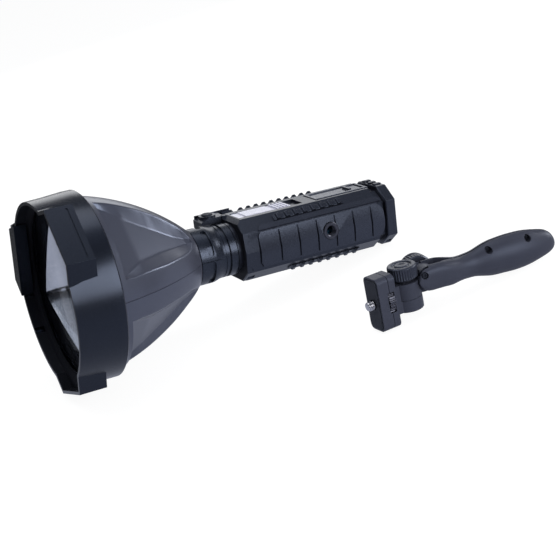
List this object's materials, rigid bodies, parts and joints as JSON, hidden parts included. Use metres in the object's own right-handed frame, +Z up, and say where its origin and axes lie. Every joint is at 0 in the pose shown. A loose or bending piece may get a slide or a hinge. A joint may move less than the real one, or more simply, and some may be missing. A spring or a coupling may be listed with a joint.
{
  "type": "handheld searchlight",
  "caption": "Handheld searchlight with a padded bezel, faceted reflector, slim battery body, slide switch and push button, and a separate swivelling screw-on grip.",
  "frame": {"origin": "centre of the set's footprint on the table, at the table's height", "axes": "+X runs from the bezel's rim towards the light's tail, +Y to the far side, away from the grip, and +Z up"},
  "size_m": [0.3112, 0.2244, 0.1359],
  "materials": {
    "black_nylon": "matt black moulded nylon",
    "black_steel": "blackened steel",
    "board_green": "green circuit board",
    "bright_steel": "bright turned steel",
    "cell_wrap": "wrapped rechargeable cell",
    "clear_glass": "clear polished glass",
    "emitter_yellow": "yellow emitter",
    "glossy_shell": "glossy blue-black anodised",
    "plain_aluminium": "plain turned aluminium",
    "polished_reflector": "polished, faceted reflector",
    "satin_anodised": "satin black anodised",
    "satin_grip": "satin blue-black moulded plastic",
    "soft_rubber": "soft black rubber",
    "switch_silver": "satin silver-grey"
  },
  "bodies": {
    "searchlight": {"battery_cell_1": "cell_wrap", "battery_cell_2": "cell_wrap", "battery_cradle": "black_nylon", "bezel_ring": "satin_anodised", "body_shell": "black_nylon", "end_cap": "black_nylon", "end_cap_screw_1": "bright_steel", "end_cap_screw_2": "bright_steel", "end_cap_screw_3": "bright_steel", "end_cap_screw_4": "bright_steel", "front_cap": "black_nylon", "head_shell": "glossy_shell", "heat_sink": "plain_aluminium", "led_board": "board_green", "led_emitter": "emitter_yellow", "lens": "clear_glass", "lens_baffle": "black_nylon", "lens_gasket": "soft_rubber", "neck_sleeve": "satin_anodised", "rail_bottom_far": "black_nylon", "rail_bottom_near": "black_nylon", "rail_top_far": "black_nylon", "rail_top_near": "black_nylon", "reflector": "polished_reflector", "side_panel_far": "soft_rubber", "side_panel_near": "soft_rubber", "side_socket": "bright_steel", "switch_board": "board_green", "top_cover": "black_nylon"},
    "slide_switch": {"slide_switch": "switch_silver"},
    "push_button": {"push_button": "soft_rubber"},
    "grip_mount": {"mount_front": "satin_grip", "mount_face": "soft_rubber", "swivel_bracket": "satin_grip", "swivel_bolt": "bright_steel"},
    "mount_screw": {"thumb_wheel": "bright_steel", "mount_screw": "bright_steel"},
    "knuckle": {"knuckle": "satin_grip", "swivel_washer": "soft_rubber"},
    "swivel_knob": {"swivel_knob": "satin_grip"},
    "handle": {"handle_shell_near": "satin_grip", "handle_shell_far": "satin_grip", "handle_screw_1": "black_steel", "handle_screw_2": "black_steel", "handle_screw_3": "black_steel", "tilt_bolt": "bright_steel"},
    "tilt_knob": {"tilt_knob": "satin_grip"}
  },
  "joints": [
    {"name": "switch_slide", "type": "slide", "parent": "searchlight", "child": "slide_switch", "axis": [0.98, 0, -0.1989], "range_m": [0, 0.008]},
    {"name": "button_press", "type": "slide", "parent": "searchlight", "child": "push_button", "axis": [-0.1989, 0, -0.98], "range_m": [0, 0.001], "stiffness_N_per_m": 400},
    {"name": "grip_lift", "type": "slide", "parent": "searchlight", "child": "grip_mount", "axis": [0, 0, 1], "range_m": [0, 0.12]},
    {"name": "mount_screw_turn", "type": "hinge", "parent": "grip_mount", "child": "mount_screw", "pos_m": [0.02397, -0.08873, 0.01922], "axis": [-0.9929, -0.026, 0.116], "continuous": true},
    {"name": "handle_swing", "type": "hinge", "parent": "grip_mount", "child": "knuckle", "pos_m": [0.04842, -0.08809, 0.014], "axis": [0.1159, 0.003, 0.9933], "range_deg": [-70, 70]},
    {"name": "swivel_knob_turn", "type": "hinge", "parent": "grip_mount", "child": "swivel_knob", "pos_m": [0.04966, -0.08805, 0.02463], "axis": [0.1159, 0.003, 0.9933], "continuous": true},
    {"name": "handle_tilt", "type": "hinge", "parent": "knuckle", "child": "handle", "pos_m": [0.06435, -0.09057, 0.02116], "axis": [-0.1638, -0.9863, 0.0221], "range_deg": [-40, 40]},
    {"name": "tilt_knob_turn", "type": "hinge", "parent": "handle", "child": "tilt_knob", "pos_m": [0.06681, -0.07578, 0.02083], "axis": [0.1638, 0.9863, -0.0221], "continuous": true}
  ]
}
